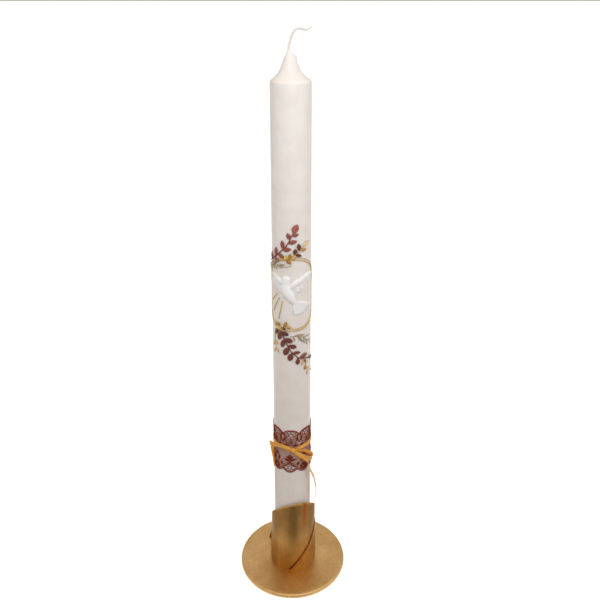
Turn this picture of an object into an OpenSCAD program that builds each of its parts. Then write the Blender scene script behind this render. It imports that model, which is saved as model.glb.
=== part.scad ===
// Candle holder of brass with a pricket and a wrapped sleeve, and the decorated wax candle that stands in it.
// The underside of the felt pad is the plane z = 0 and its centre is the origin. The decorated side faces -Y.

/* [Plate] */
// Diameter of the round brass plate
plate_d = 90; // [80:1:110]
// Thickness of the brass sheet of the plate
plate_t = 1.2; // [1:0.1:1.5]
// Height of the plate's upper face above the table
plate_top = 3; // [2.8:0.1:4]
// Radius of the turned-down edge
edge_r = 2.4; // [2:0.1:2.8]
// Diameter of the felt pad under the plate
felt_d = 80; // [60:1:82]

/* [Sleeve] */
// Outer diameter of the sleeve at its foot
sleeve_d = 38; // [37:0.5:40]
// Radius that the sleeve loses per millimetre of height
sleeve_taper = 0.013; // [0:0.001:0.015]
// Thickness of the rolled sheet
sleeve_t = 0.8; // [0.6:0.1:1]
// Height of the middle of the slanted rim above the plate
rim_h = 49.4; // [45:0.1:55]
// Slope of the rim in degrees
rim_slope = 44.4; // [30:0.1:46]
// Turn of the rim's highest point away from the front
rim_turn = 13; // [0:1:30]
// Sideways lean of the sleeve in degrees
sleeve_lean = 0.9; // [0:0.1:1]

/* [Wrap] */
// Height of the sheet wrapped round the sleeve
wrap_h = 36; // [30:0.5:38]
// Thickness of that sheet
wrap_t = 0.7; // [0.6:0.1:0.9]
// How far its front tip stands away from the sleeve
wrap_flare = 2.4; // [0:0.1:3]
// Length of its flat end at the back
wrap_tail = 21.6; // [12:0.1:22]

/* [Pricket] */
// Height of the pricket's point above the plate
pricket_h = 24; // [18:1:30]
// Diameter at the foot of the pricket
pricket_d = 4; // [3:0.5:5]
// Diameter of the pricket's collar
collar_d = 12; // [9:0.5:14]

/* [Candle] */
// Diameter of the candle
candle_d = 30; // [28:0.5:31]
// Height of the candle's tip above the plate
candle_h = 434; // [410:1:440]
// Height of the moulded tip
tip_h = 22; // [20:1:26]
// Diameter of the wick
wick_d = 2.1; // [1.6:0.1:2.4]

/* [Decoration] */
// Height of the middle of the ring above the plate
ring_z = 255; // [245:1:265]
// Half the height of the ring
ring_rise = 30; // [26:0.5:31]
// Half the width of the ring, measured round the candle
ring_reach = 25.7; // [24:0.1:26.5]
// Width of each strand of the ring
strand_w = 0.9; // [0.8:0.1:1.1]
// Thickness of the wax leaves
leaf_t = 0.35; // [0.3:0.05:0.4]

/* [Lace and ribbon] */
// Height of the lace band's lower points above the plate
lace_z = 96.5; // [90:0.5:100]
// Width of the lace band from point to point
lace_w = 40.5; // [38:0.5:42]
// Thickness of the lace
lace_t = 0.5; // [0.4:0.05:0.5]
// Width of the satin ribbon
ribbon_w = 3.5; // [2.5:0.1:4]
// Thickness of the satin ribbon
ribbon_t = 0.3; // [0.25:0.05:0.3]
// Height of the ribbon round the candle, above the plate
ribbon_z = 121; // [119:0.5:123]

/* [Hidden] */
$fn = 96;

felt_t = plate_top - plate_t;
felt_hole_d = 16;
lip_z = 0.5;              // underside of the plate's turned-down edge
pricket_hole_d = 4;
collar_t = 1;
washer_d = 10;
washer_t = 0.6;
rivet_d = 7;
rivet_t = 0.6;
play = 0.3;               // room between the candle and what it stands on or in
stand_gap = 0.05;
candle_r = candle_d / 2;
candle_z = plate_top + collar_t + stand_gap;
tip_z = plate_top + candle_h;
tip_curve_r = 29;         // hollow curve of the moulded tip
tip_r = 3.9;
wick_x = -1.4;            // the wick lies a little beside the candle's axis
wick_foot_z = 40;
sleeve_r = sleeve_d / 2;
wrap_steps = 48;
wrap_rows = 16;
wrap_front = -10;         // where the wrap's front edge meets the plate, degrees from the front
wrap_front_top = 76;      // where that edge meets the wrap's upper edge
wrap_back = 180;          // from here to its end at the back the wrap is flat
rim_gap = 1;              // how far the wrap's upper edge stays below the rim
low = 0.02;               // clearance of a flat wax piece from the candle
ring_low = 0.1;           // clearance of the ring's strands
ring_bulge = [2.2, 2.6];  // exponents of the ring's upper and lower half: 2 is an ellipse, more is boxier
over = 0.6;               // a leaf that crosses the ring lies on its strands
over_two = 1;
loop_steps = 5;
ring_steps = 96;

// Centre lines of the ribbon and the wick, x, y and height above the plate
loop_left_line = [
    [-0.9, -19.5, 122.6], [-4, -19.8, 124.2], [-8.6, -19, 125.3], [-13.3, -16, 125],
    [-16.8, -13.2, 123.6], [-18.4, -10.8, 122.1], [-16.6, -9.8, 121], [-12.8, -12.7, 121.9],
    [-8.4, -15.6, 121.9], [-4, -17.1, 121.2], [-1.5, -17.4, 120.5]
];
loop_right_line = [
    [2.9, -19.4, 120], [4.6, -19.4, 118.6], [7.4, -18.6, 116.1], [10.8, -16.8, 112.9],
    [14, -14, 109.6], [16.4, -11, 108.5], [15.8, -9.4, 110.3], [13.4, -10.6, 113.4],
    [10.2, -12.9, 116.3], [7.1, -15.2, 118.3], [4.6, -16.3, 119.4]
];
tail_left_line = [
    [-1.4, -16.6, 119.1], [-4, -16.1, 120.1], [-8.4, -14.2, 120.7], [-12.6, -10.6, 120],
    [-15.5, -8.4, 118.6], [-16.4, -7.6, 115.6], [-16.1, -7.5, 111.9], [-15.6, -7.1, 107.1],
    [-15.1, -6.8, 102], [-14.7, -6.8, 96.7]
];
tail_right_line = [
    [3.1, -17.5, 118], [6.8, -16.8, 114.4], [10.5, -14.8, 110.3], [13.1, -12.9, 106.5],
    [13.4, -12.2, 103.1], [14, -11.7, 100.1], [15.2, -10.9, 95.8], [17.3, -9.6, 90],
    [18.3, -8.2, 85.6], [19.8, -7, 76.2], [19.5, -5.6, 66.6], [19, -4.8, 58.3]
];
wick_line = [
    [-1.4, 0, 434], [-0.9, 0, 438], [0.9, 0, 443.6], [3, 0, 447.4], [5.4, 0, 448.4],
    [8.2, 0, 448.2], [11, 0, 447.6], [14.8, 0, 449.4]
];

function unit(v) = v / norm(v);
function raised(line) = [for (p = line) p + [0, 0, plate_top]];

// Smooth curve through points, with n steps between neighbours
function knot_mix(a, b, c, d, t) =
    0.5 * (2 * b + (c - a) * t + (2 * a - 5 * b + 4 * c - d) * t * t + (3 * b - a - 3 * c + d) * t * t * t);
function smooth(p, n) = concat(
    [for (i = [0 : len(p) - 2]) for (k = [0 : n - 1])
        knot_mix(p[max(i - 1, 0)], p[i], p[i + 1], p[min(i + 2, len(p) - 1)], k / n)],
    [p[len(p) - 1]]
);
function heading(p, i) = unit(p[min(i + 1, len(p) - 1)] - p[max(i - 1, 0)]);

// Width direction of a strip: square to its run and either upright or along the candle's surface
function upright(t) = unit([0, 0, 1] - t[2] * t);
function along_surface(q, t) = unit(cross(t, unit([q[0], q[1], 0])));

// Flat outline with eight corners, as [across, out] pairs
function strip_outline(w, t) = [
    [w / 2, t / 4], [w / 2 - t / 4, t / 2], [t / 4 - w / 2, t / 2], [-w / 2, t / 4],
    [-w / 2, -t / 4], [t / 4 - w / 2, -t / 2], [w / 2 - t / 4, -t / 2], [w / 2, -t / 4]
];
function round_outline(d) = [for (k = [0 : 7]) d / 2 * [cos(22.5 + 45 * k), sin(22.5 + 45 * k)]];

// Faces of a swept body of rings with m corners each
function side_faces(rings, m) = [
    for (i = [0 : rings - 2]) for (j = [0 : m - 1]) each [
        [i * m + j, i * m + (j + 1) % m, (i + 1) * m + j],
        [i * m + (j + 1) % m, (i + 1) * m + (j + 1) % m, (i + 1) * m + j]
    ]
];
function cap_faces(first, m, turned) = [
    for (j = [1 : m - 2]) turned ? [first, first + j, first + j + 1] : [first, first + j + 1, first + j]
];

// Body swept along a line: outline in the plane of the width direction and the normal
module swept(line, outline, widths) {
    m = len(outline);
    n = len(line);
    points = [
        for (i = [0 : n - 1]) for (q = outline)
            line[i] + q[0] * widths[i] + q[1] * unit(cross(widths[i], heading(line, i)))
    ];
    faces = concat(side_faces(n, m), cap_faces(0, m, false), cap_faces((n - 1) * m, m, true));
    polyhedron(points, faces);
}

module upright_strip(line) {
    path = smooth(raised(line), loop_steps);
    swept(path, strip_outline(ribbon_w, ribbon_t), [for (i = [0 : len(path) - 1]) upright(heading(path, i))]);
}

module hanging_strip(line) {
    path = smooth(raised(line), 2);
    widths = [for (i = [0 : len(path) - 1]) along_surface(path[i], heading(path, i))];
    swept(path, strip_outline(ribbon_w, ribbon_t), widths);
}

// Holder ---------------------------------------------------------------------------------------

module felt_pad() {
    color("dimgray")
    difference() {
        cylinder(h = felt_t, d = felt_d);
        translate([0, 0, -1]) cylinder(h = felt_t + 2, d = felt_hole_d);
    }
}

// Half section of a plate with a rounded edge
module plate_section(r, h, bend) {
    square([r - bend, h]);
    square([r, h - bend]);
    translate([r - bend, h - bend]) circle(r = bend);
}

module base_plate() {
    color("goldenrod")
    difference() {
        rotate_extrude() difference() {
            intersection() {
                plate_section(plate_d / 2, plate_top, edge_r);
                square([plate_d, plate_top]);
            }
            plate_section(plate_d / 2 - plate_t, plate_top - plate_t, edge_r - plate_t);
        }
        translate([0, 0, lip_z - 5]) cylinder(h = 5, d = plate_d + 10);
        translate([0, 0, -1]) cylinder(h = plate_top + 2, d = pricket_hole_d);
    }
}

// Leaning, slightly tapered tube, longer than the sleeve at both ends
module sleeve_body(r) {
    reach = 12;
    top = 80;
    translate([0, 0, plate_top]) rotate([0, sleeve_lean, 0])
    rotate_extrude() polygon([
        [0, -reach], [r + reach * sleeve_taper, -reach],
        [r - top * sleeve_taper, top], [0, top]
    ]);
}

module above_rim() {
    size = 200;
    translate([0, 0, plate_top + rim_h]) rotate([0, 0, rim_turn]) rotate([-rim_slope, 0, 0])
    translate([-size / 2, -size / 2, 0]) cube(size);
}

module sleeve_tube() {
    color("darkgoldenrod")
    difference() {
        sleeve_body(sleeve_r);
        sleeve_body(sleeve_r - sleeve_t);
        above_rim();
        translate([0, 0, plate_top - 20]) cylinder(h = 20, d = plate_d);
    }
}

// A point of the wrap: a is the developed angle from the front, z the height above the plate
function wrap_base(z) = sleeve_r + 0.1 - sleeve_taper * z;
function wrap_lift(a) = a < 40 ? wrap_flare * pow((40 - a) / 50, 2) : 0;
function wrap_plan(a, r) = a <= wrap_back
    ? (r + wrap_lift(a)) * [sin(a), -cos(a)]
    : r * [sin(wrap_back), -cos(wrap_back)]
        + (a - wrap_back) * sleeve_r * PI / 180 * [cos(wrap_back), sin(wrap_back)];
function wrap_point(a, z, out) =
    let (p = wrap_plan(a, wrap_base(z) + out)) [p[0] + z * tan(sleeve_lean), p[1], plate_top + z];
function wrap_start(f) = wrap_front + (wrap_front_top - wrap_front) * f;
function wrap_top(a) =
    min(wrap_h, rim_h - rim_gap + sleeve_r * tan(rim_slope) * cos(min(a, wrap_back) - rim_turn));
function wrap_end(f) = wrap_back + (wrap_tail - 9 * f) / sleeve_r * 180 / PI;

module sleeve_wrap() {
    // Each row is a closed loop: along the inner face to the back, then along the outer face to the front
    m = 2 * (wrap_steps + 1);
    points = [
        for (row = [0 : wrap_rows]) for (j = [0 : m - 1])
            let (
                f = row / wrap_rows,
                k = j <= wrap_steps ? j : m - 1 - j,
                a = wrap_start(f) + (wrap_end(f) - wrap_start(f)) * k / wrap_steps
            )
            wrap_point(a, wrap_top(a) * f, j <= wrap_steps ? 0 : wrap_t)
    ];
    top = wrap_rows * m;
    caps = [
        for (k = [0 : wrap_steps - 1]) each [
            [k, m - 2 - k, k + 1], [k, m - 1 - k, m - 2 - k],
            [top + k, top + k + 1, top + m - 2 - k], [top + k, top + m - 2 - k, top + m - 1 - k]
        ]
    ];
    color("peru") polyhedron(points, concat(side_faces(wrap_rows + 1, m), caps));
}

module solder_tacks() {
    foot_r = sleeve_r - sleeve_t - 0.05;
    color("silver")
    for (k = [0 : 2])
        rotate([0, 0, 30 + 120 * k]) translate([0, 0, plate_top])
        rotate_extrude(angle = 20) polygon([[foot_r - 1.4, 0], [foot_r, 0], [foot_r - 0.15, 1.2]]);
}

module pricket_spike() {
    color("goldenrod") translate([0, 0, plate_top]) {
        rotate_extrude() polygon([
            [0, 0], [collar_d / 2, 0], [collar_d / 2, collar_t], [pricket_d / 2, collar_t],
            [pricket_d / 2 - 0.2, collar_t + 6], [0.25, pricket_h], [0, pricket_h]
        ]);
        translate([0, 0, -plate_t - washer_t]) cylinder(h = plate_t + washer_t, d = pricket_hole_d);
        translate([0, 0, -plate_t - washer_t - rivet_t]) cylinder(h = rivet_t, d = rivet_d);
    }
}

module rivet_washer() {
    color("silver") translate([0, 0, felt_t - washer_t])
    difference() {
        cylinder(h = washer_t, d = washer_d);
        translate([0, 0, -1]) cylinder(h = washer_t + 2, d = pricket_hole_d);
    }
}

// Candle ---------------------------------------------------------------------------------------

// Half section: straight body, hollow-curved tip and a small dome
module candle_section() {
    difference() {
        translate([0, candle_z]) square([candle_r, tip_z - 3.6 - candle_z]);
        translate([tip_r + tip_curve_r - 0.4, tip_z + 1]) circle(r = tip_curve_r);
    }
    intersection() {
        translate([0, tip_z - 4]) circle(r = 4);
        translate([0, tip_z - 6]) square([3.7, 6]);
    }
}

module candle_wax() {
    color("ivory")
    difference() {
        rotate_extrude() candle_section();
        cylinder(h = plate_top + pricket_h + 2, d = pricket_d + 2 * play);
        translate([wick_x, 0, wick_foot_z]) cylinder(h = tip_z, d = wick_d + 0.1);
    }
}

module wick() {
    bent = smooth(raised(wick_line), 2);
    line = concat([[wick_x, 0, wick_foot_z + 0.5], [wick_x, 0, tip_z - 40]], bent);
    color("wheat") swept(line, round_outline(wick_d), [for (p = line) [0, 1, 0]]);
}

// Thin shell on the candle's surface, from low to high above it
module wax_shell(from, thick) {
    difference() {
        translate([0, 0, plate_top + 150]) cylinder(h = 200, r = candle_r + from + thick);
        translate([0, 0, plate_top + 140]) cylinder(h = 220, r = candle_r + from);
    }
}

// Puts a flat drawing on the candle: a in degrees from the front, z above the plate
module on_candle(a, z) {
    rotate([0, 0, a]) translate([0, -candle_r + 3, plate_top + z]) rotate([90, 0, 0])
    linear_extrude(6) children();
}

// Leaf with two round sides, its foot at the origin and its tip along +X
module leaf(l, w) {
    r = (l * l + w * w) / (4 * w);
    intersection() {
        translate([l / 2, r - w / 2]) circle(r = r);
        translate([l / 2, w / 2 - r]) circle(r = r);
    }
}

module stem_piece(l, w) {
    translate([0, -w / 2]) square([l, w]);
    circle(d = w);
}

// Distance and slope between two places [angle, height] on the candle
function step_on_candle(p, q) = [(q[0] - p[0]) * PI / 180 * candle_r, q[1] - p[1]];
function slope(v) = atan2(v[1], v[0]);

// Sprig: a stem through places [angle, height], a pair of leaves at each and one leaf at its end
module sprig(line, from, leaf_l, leaf_w, stem_w, splay) {
    path = smooth(line, 2);
    last = len(path) - 1;
    intersection() {
        wax_shell(from, leaf_t);
        union() {
            for (i = [0 : last - 1]) {
                v = step_on_candle(path[i], path[i + 1]);
                on_candle(path[i][0], path[i][1]) rotate(slope(v)) stem_piece(norm(v), stem_w);
                if (i % 2 == 0)
                    on_candle(path[i][0], path[i][1]) {
                        rotate(slope(v) + splay) leaf(leaf_l, leaf_w);
                        rotate(slope(v) - splay) leaf(leaf_l, leaf_w);
                    }
            }
            on_candle(path[last][0], path[last][1])
                rotate(slope(step_on_candle(path[last - 1], path[last])))
                translate([-stem_w, 0]) leaf(leaf_l, leaf_w);
        }
    }
}

// Closed strand laid on the candle as an upright, slightly boxy oval
function oval(t, reach, rise) =
    let (power = 2 / ring_bulge[sin(t) < 0 ? 1 : 0])
    [sign(cos(t)) * reach * pow(abs(cos(t)), power), sign(sin(t)) * rise * pow(abs(sin(t)), power)];
module ring_strand(reach, rise) {
    h = 0.45;
    m = 8;
    outline = strip_outline(strand_w, h);
    step = 360 / ring_steps;
    points = [
        for (i = [0 : ring_steps - 1])
            let (
                t = step * (i + 0.5),
                p = oval(t, reach, rise),
                q = oval(t + step / 2, reach, rise) - oval(t - step / 2, reach, rise),
                side = unit([q[1], -q[0]]),
                r = candle_r + ring_low + h / 2
            )
            for (c = outline)
                let (b = (p[0] + c[0] * side[0]) / candle_r * 180 / PI)
                    [(r + c[1]) * sin(b), -(r + c[1]) * cos(b), plate_top + ring_z + p[1] + c[0] * side[1]]
    ];
    faces = [
        for (i = [0 : ring_steps - 1]) for (j = [0 : m - 1])
            let (n = (i + 1) % ring_steps)
            each [
                [i * m + j, n * m + j, i * m + (j + 1) % m],
                [i * m + (j + 1) % m, n * m + j, n * m + (j + 1) % m]
            ]
    ];
    polyhedron(points, faces);
}

module ring_strand_outer() { color("tan") ring_strand(ring_reach, ring_rise); }

module ring_strand_inner() { color("burlywood") ring_strand(ring_reach - strand_w - 0.1, ring_rise - 1.7); }

// Ray: a narrow strip from one place [angle, height] to another, widening outwards
module ray(p, q) {
    v = step_on_candle(p, q);
    color("tan") intersection() {
        wax_shell(low, leaf_t);
        on_candle((p[0] + q[0]) / 2, (p[1] + q[1]) / 2) rotate(slope(v))
            polygon([
                [-norm(v) / 2, -0.35], [norm(v) / 2, -0.55], [norm(v) / 2, 0.55], [-norm(v) / 2, 0.35]
            ]);
    }
}

module ray_upper() { ray([-44.7, 254.8], [-72.1, 247.1]); }

module ray_middle() { ray([-36.7, 252.2], [-63.1, 239.3]); }

module ray_lower() { ray([-26.2, 249.7], [-40, 234.3]); }

// Fan of feathers from one place: directions in degrees and lengths as [first, last]
module feathers(a, z, turn, l, count, w) {
    for (k = [0 : count - 1])
        let (f = k / (count - 1))
        on_candle(a, z) rotate(turn[0] + (turn[1] - turn[0]) * f) leaf(l[0] + (l[1] - l[0]) * f, w);
}

// Wings and tail lie flat, the body and the head stand out
module dove() {
    wing_t = 0.7;
    body_t = 1.5;
    color("white") {
        intersection() {
            wax_shell(low, wing_t);
            union() {
                feathers(-2.4, 258.4, [36, -18], [20.6, 11], 6, 4.1);
                feathers(-12.6, 261.3, [149, 209], [16.9, 9.3], 5, 3.7);
                feathers(6.3, 251.8, [-21, -79], [14.9, 13.1], 5, 3.7);
            }
        }
        intersection() {
            wax_shell(low, body_t);
            union() {
                on_candle(-14.2, 268.6) rotate(-69) leaf(21.4, 6.7);
                on_candle(-15.3, 267.9) circle(d = 4.8);
                on_candle(-15.3, 267.9) rotate(150) translate([1.4, 0]) leaf(3.2, 1.4);
            }
        }
    }
}

module burgundy_sprig_top() {
    color("brown")
    sprig([
        [-60, 282.3], [-43, 286.4], [-27, 290.5], [-12, 294.2], [-2, 299], [6, 304.6]
    ], over, 5.6, 3, 0.6, 42);
}

module gold_sprig_top() {
    color("burlywood")
    sprig([[-32, 281.8], [-12, 285.3], [6, 288.2], [21, 291], [34, 293.8]], over_two, 4.6, 2.4, 0.6, 46);
}

module taupe_sprig_top() {
    color("rosybrown") sprig([[-32, 278.2], [-50, 276.6], [-66, 276.8], [-84, 277]], over_two, 5, 1.2, 0.5, 34);
}

module gold_sprig_centre() {
    color("burlywood") sprig([[-54, 230.2], [-38, 230], [-24, 230.4], [-12, 229.4]], over, 4, 2.2, 0.6, 42);
}

module burgundy_sprig_lower() {
    color("brown")
    sprig([
        [-45, 224.6], [-30, 222.2], [-20, 217.4], [-8, 211.5], [4, 206.6], [20, 203], [38, 200.8], [58, 199.2]
    ], over, 5.4, 3, 0.6, 44);
}

module gold_sprig_left() {
    color("burlywood") sprig([[-56, 215.6], [-55, 211], [-55, 206.6]], low, 3.8, 2.1, 0.5, 62);
}

module gold_sprig_right() {
    color("burlywood") sprig([[38, 196.6], [46, 191.6], [60, 188], [74, 185.6]], low, 4.2, 2.2, 0.6, 46);
}

module taupe_sprig_lower() {
    color("rosybrown") sprig([[4, 220.6], [20, 218.4], [40, 215], [60, 211.6]], low, 4.4, 1.2, 0.5, 34);
}

// Lace and ribbon ------------------------------------------------------------------------------

// Lace band with wide points along its upper edge and narrower ones along its lower edge
module lace_band() {
    points_top = 7;
    points_bottom = 8;
    top_r = 8.5;
    bottom_r = 7;
    dip = 4.6;
    bottom = plate_top + lace_z;
    color("saddlebrown")
    intersection() {
        difference() {
            translate([0, 0, bottom - 1]) cylinder(h = lace_w + 2, r = candle_r + low + lace_t);
            translate([0, 0, bottom - 2]) cylinder(h = lace_w + 4, r = candle_r + low);
        }
        union() {
            translate([0, 0, bottom + dip]) cylinder(h = lace_w - 2 * dip, r = candle_r + 2);
            for (k = [0 : points_top - 1])
                on_candle(k * 360 / points_top - 3, lace_z + lace_w - top_r) circle(r = top_r);
            for (k = [0 : points_bottom - 1])
                on_candle(k * 360 / points_bottom - 8, lace_z + bottom_r) circle(r = bottom_r);
        }
    }
}

module ribbon_band() {
    inner = candle_r + low + lace_t + 0.03;
    color("orange") translate([0, 0, plate_top + ribbon_z - ribbon_w / 2])
    difference() {
        cylinder(h = ribbon_w, r = inner + ribbon_t);
        translate([0, 0, -1]) cylinder(h = ribbon_w + 2, r = inner);
    }
}

module bow_knot() {
    color("orange") translate([0.9, -candle_r - 3.05, plate_top + ribbon_z - 1]) sphere(r = 2);
}

module bow_loop_left() { color("orange") upright_strip(loop_left_line); }

module bow_loop_right() { color("orange") upright_strip(loop_right_line); }

module ribbon_tail_left() { color("orange") hanging_strip(tail_left_line); }

module ribbon_tail_right() { color("orange") hanging_strip(tail_right_line); }

felt_pad();
base_plate();
sleeve_tube();
sleeve_wrap();
solder_tacks();
pricket_spike();
rivet_washer();
candle_wax();
wick();
ring_strand_outer();
ring_strand_inner();
ray_upper();
ray_middle();
ray_lower();
dove();
burgundy_sprig_top();
gold_sprig_top();
taupe_sprig_top();
gold_sprig_centre();
burgundy_sprig_lower();
gold_sprig_left();
gold_sprig_right();
taupe_sprig_lower();
lace_band();
ribbon_band();
bow_knot();
bow_loop_left();
bow_loop_right();
ribbon_tail_left();
ribbon_tail_right();
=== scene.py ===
"""Brass candle holder and the decorated wax candle that stands in it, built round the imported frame.

Inside the functions lengths are millimetres, heights named z are above the plate's upper face, and
angles are degrees round the candle from its front (-Y), growing towards +X.
"""

import math
import random

import bmesh
import bpy
from mathutils import Matrix, Vector, noise


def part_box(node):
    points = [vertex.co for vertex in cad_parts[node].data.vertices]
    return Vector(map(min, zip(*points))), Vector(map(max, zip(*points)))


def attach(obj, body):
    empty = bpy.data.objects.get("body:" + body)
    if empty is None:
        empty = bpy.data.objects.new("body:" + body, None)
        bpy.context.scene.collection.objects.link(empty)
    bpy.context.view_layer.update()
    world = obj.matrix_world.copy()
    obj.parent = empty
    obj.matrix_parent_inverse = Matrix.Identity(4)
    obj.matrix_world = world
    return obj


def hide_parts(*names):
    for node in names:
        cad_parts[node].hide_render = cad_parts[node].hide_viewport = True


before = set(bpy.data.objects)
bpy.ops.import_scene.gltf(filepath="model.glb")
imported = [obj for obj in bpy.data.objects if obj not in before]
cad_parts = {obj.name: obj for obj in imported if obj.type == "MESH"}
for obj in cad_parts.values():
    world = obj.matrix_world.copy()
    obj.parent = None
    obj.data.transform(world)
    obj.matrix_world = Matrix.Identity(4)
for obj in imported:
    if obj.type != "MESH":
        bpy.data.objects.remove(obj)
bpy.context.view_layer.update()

MM = 0.001
# The mark of a point that needs none of its own
PLAIN = (0.0, 0.0, 0.5)
WHITE = (1, 1, 1, 1)


def corners(node):
    """Lowest and highest corner of a CAD node in millimetres."""
    low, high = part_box(node)
    return low / MM, high / MM


plate_low, plate_high = corners("base_plate")
candle_low, candle_high = corners("candle_wax")
ring_low, ring_high = corners("ring_strand_outer")
lace_low, lace_high = corners("lace_band")
band_low, band_high = corners("ribbon_band")
knot_low, knot_high = corners("bow_knot")

PLATE_TOP = plate_high.z
PLATE_R = plate_high.x
PLATE_LIP = plate_low.z
PLATE_T = 1.2
EDGE_R = 2.4
RIVET_HOLE_R = 2

CANDLE_R = (candle_high.x - candle_low.x) / 2
CANDLE_FOOT = candle_low.z - PLATE_TOP
CANDLE_TIP = candle_high.z - PLATE_TOP
BORE_R = 2.3
BORE_TOP = 26

SLEEVE_R = corners("sleeve_tube")[1].y
SLEEVE_T = 0.8
SLEEVE_TAPER = 0.013
SLEEVE_LEAN = math.tan(math.radians(0.9))
RIM_MIDDLE = 49.4
RIM_SLOPE = math.tan(math.radians(44.4))
RIM_TURN = 13
CREASE = 32
WRAP_H = corners("sleeve_wrap")[1].z - PLATE_TOP
WRAP_T = 0.7
WRAP_GAP = 0.1
WRAP_FLARE = 1.4
WRAP_FRONT = (-10, 76)
WRAP_BACK = 180
WRAP_TAIL = (21.6, 12.6)

RING_Z = (ring_low.z + ring_high.z) / 2 - PLATE_TOP
STRAND_W = 0.9
RING_RISE = (ring_high.z - ring_low.z - STRAND_W) / 2
RING_REACH = 25.7
RING_BULGE = (2.2, 2.6)
RING_OUT = 0.1
OVER_RING = 0.6
OVER_LEAVES = 0.95

LACE_Z = lace_low.z - PLATE_TOP
LACE_W = lace_high.z - lace_low.z
LACE_OUT = 0.2
BAND_Z = (band_low.z + band_high.z) / 2 - PLATE_TOP
RIBBON_W = 3.5
RIBBON_T = 0.3

# Centre lines of the ribbon and the wick: x, y and height above the plate
LOOP_LEFT = [
    (-0.9, -19.5, 122.6), (-4, -19.8, 124.2), (-8.6, -19, 125.3), (-13.3, -16, 125),
    (-16.6, -13.3, 123.8), (-18, -11.3, 122.7), (-16.8, -10.2, 121.4), (-12.8, -12.7, 121.9),
    (-8.4, -15.6, 121.9), (-4, -17.1, 121.2), (-1.5, -17.4, 120.5),
]
LOOP_RIGHT = [
    (2.9, -19.4, 120), (4.6, -19.4, 118.6), (7.4, -18.6, 116.1), (10.8, -16.8, 112.9),
    (14, -14, 109.6), (16.4, -11, 108.5), (15.8, -9.4, 110.3), (13.4, -10.6, 113.4),
    (10.2, -12.9, 116.3), (7.1, -15.2, 118.3), (4.6, -16.3, 119.4),
]
TAIL_LEFT = [
    (-1.4, -16.6, 119.1), (-4, -16.1, 120.1), (-8.4, -14.2, 120.7), (-12.6, -10.6, 120),
    (-15.5, -8.4, 118.6), (-16.4, -7.6, 115.6), (-16.1, -7.5, 111.9), (-15.6, -7.1, 107.1),
    (-15.1, -6.8, 102), (-14.7, -6.8, 96.7),
]
TAIL_RIGHT = [
    (3.1, -17.5, 118), (6.8, -16.8, 114.4), (10.5, -14.8, 110.3), (13.1, -12.9, 106.5),
    (13.4, -12.2, 103.1), (14, -11.7, 100.1), (15.2, -10.9, 95.8), (17.3, -9.6, 90),
    (18.3, -8.2, 85.6), (19.8, -7, 76.2), (19.5, -5.6, 66.6), (19, -4.8, 58.3),
]
WICK_LINE = [
    (-1.4, 0, 420), (-1.4, 0, 434), (-0.9, 0, 438), (0.9, 0, 443.6), (3, 0, 447.4), (5.4, 0, 448.4),
    (8.2, 0, 448.2), (11, 0, 447.6), (14.8, 0, 449.4),
]

random.seed(7)


# Geometry ---------------------------------------------------------------------------------------


def lift(p):
    """A point with its height above the plate, as a point of the frame."""
    return Vector((p[0], p[1], p[2] + PLATE_TOP))


def on_candle(angle, z, out=0.0):
    """The point at that angle and height, out from the candle's surface."""
    a = math.radians(angle)
    r = CANDLE_R + out
    return Vector((r * math.sin(a), -r * math.cos(a), z + PLATE_TOP))


def arc_to_angle(s):
    """Angle round the candle of a length along its surface."""
    return math.degrees(s / CANDLE_R)


def unrolled(angle, z, width=0.0):
    """A place on the candle as length along its surface and height."""
    return Vector((math.radians(angle) * CANDLE_R, z, width))


def ease(low, high, x):
    """0 below low, 1 above high, smooth between."""
    t = min(1.0, max(0.0, (x - low) / (high - low)))
    return t * t * (3 - 2 * t)


def smooth_line(points, steps):
    """Catmull-Rom curve through the points."""
    points = [Vector(p) for p in points]
    line = []
    for i in range(len(points) - 1):
        a = points[max(i - 1, 0)]
        b, c = points[i], points[i + 1]
        d = points[min(i + 2, len(points) - 1)]
        for k in range(steps):
            t = k / steps
            bend = (2 * a - 5 * b + 4 * c - d) * t * t + (3 * b - a - 3 * c + d) * t ** 3
            line.append(0.5 * (2 * b + (c - a) * t + bend))
    line.append(points[-1])
    return line


def heading(line, i):
    """Direction of a line at its point i."""
    return (line[min(i + 1, len(line) - 1)] - line[max(i - 1, 0)]).normalized()


def along(line, fraction):
    """Point and direction at a fraction of a line's length."""
    lengths = [(q - p).length for p, q in zip(line, line[1:])]
    left = fraction * sum(lengths)
    for i, length in enumerate(lengths):
        if left <= length or i == len(lengths) - 1:
            step = line[i + 1] - line[i]
            return line[i] + step * min(1.0, left / length), step.normalized()
        left -= length


def joined_rings(count, size, closed=False):
    """Faces of a body made of rings of points; its two ends are closed unless the rings go round."""
    faces = []
    for i in range(count if closed else count - 1):
        j = (i + 1) % count
        for k in range(size):
            n = (k + 1) % size
            faces.append((i * size + k, i * size + n, j * size + n, j * size + k))
    if not closed:
        faces.append(tuple(range(size)))
        faces.append(tuple((count - 1) * size + k for k in range(size)))
    return faces


def add_object(name, data):
    obj = bpy.data.objects.new(name, data)
    bpy.context.scene.collection.objects.link(obj)
    return obj


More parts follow.
